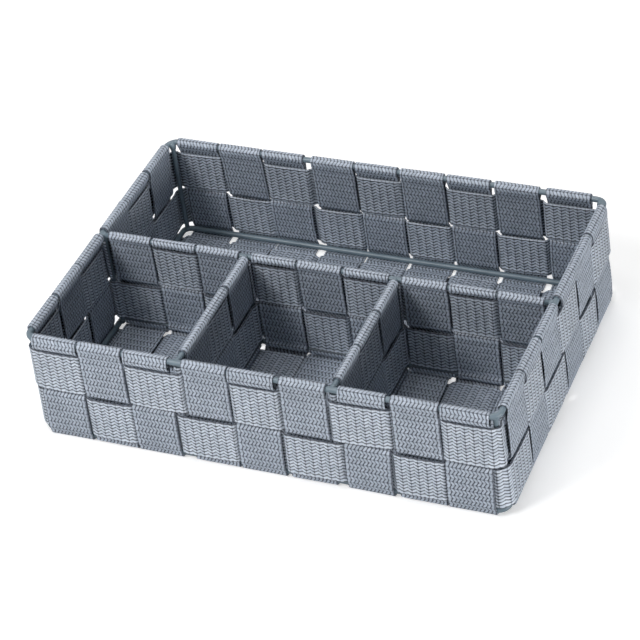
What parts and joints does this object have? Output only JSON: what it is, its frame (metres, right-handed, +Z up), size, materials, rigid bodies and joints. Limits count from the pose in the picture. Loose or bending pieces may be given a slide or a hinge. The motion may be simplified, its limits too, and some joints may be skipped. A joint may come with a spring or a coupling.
{
  "type": "bathroom organizer",
  "caption": "Low open basket of flat webbing woven over a welded wire frame, with dividers that make a long rear compartment and shorter front compartments.",
  "frame": {"origin": "centre of the footprint, on the surface that the basket stands on", "axes": "+X along the front wall to the right, +Y from the front compartments to the long rear compartment, +Z up"},
  "size_m": [0.3112, 0.2222, 0.0784],
  "materials": {
    "webbing": "woven polypropylene webbing, grey-blue, matt with a slight sheen on the yarns",
    "coated_wire": "slate-blue smooth coating on steel wire, satin"
  },
  "bodies": {
    "root": {"top_rim_wire": "coated_wire", "bottom_rim_wire": "coated_wire", "corner_post_front_left": "coated_wire", "corner_post_front_right": "coated_wire", "corner_post_back_left": "coated_wire", "corner_post_back_right": "coated_wire", "long_divider_top_wire": "coated_wire", "long_divider_bottom_wire": "coated_wire", "long_divider_post_left": "coated_wire", "long_divider_post_right": "coated_wire", "left_divider_top_wire": "coated_wire", "left_divider_bottom_wire": "coated_wire", "left_divider_post_front": "coated_wire", "left_divider_post_back": "coated_wire", "right_divider_top_wire": "coated_wire", "right_divider_bottom_wire": "coated_wire", "right_divider_post_front": "coated_wire", "right_divider_post_back": "coated_wire", "front_to_back_strap_1": "webbing", "front_to_back_strap_2": "webbing", "front_to_back_strap_3": "webbing", "front_to_back_strap_4": "webbing", "front_to_back_strap_5": "webbing", "front_to_back_strap_6": "webbing", "front_to_back_strap_7": "webbing", "front_to_back_strap_8": "webbing", "front_to_back_strap_9": "webbing", "side_to_side_strap_1": "webbing", "side_to_side_strap_2": "webbing", "side_to_side_strap_3": "webbing", "side_to_side_strap_4": "webbing", "side_to_side_strap_5": "webbing", "side_to_side_strap_6": "webbing", "upper_wall_band": "webbing", "lower_wall_band": "webbing", "long_divider_strap_1": "webbing", "long_divider_strap_2": "webbing", "long_divider_strap_3": "webbing", "long_divider_strap_4": "webbing", "long_divider_strap_5": "webbing", "long_divider_strap_6": "webbing", "long_divider_strap_7": "webbing", "long_divider_strap_8": "webbing", "long_divider_strap_9": "webbing", "long_divider_upper_band": "webbing", "long_divider_lower_band": "webbing", "left_divider_strap_1": "webbing", "left_divider_strap_2": "webbing", "left_divider_strap_3": "webbing", "left_divider_upper_band": "webbing", "left_divider_lower_band": "webbing", "right_divider_strap_1": "webbing", "right_divider_strap_2": "webbing", "right_divider_strap_3": "webbing", "right_divider_upper_band": "webbing", "right_divider_lower_band": "webbing"}
  },
  "joints": []
}
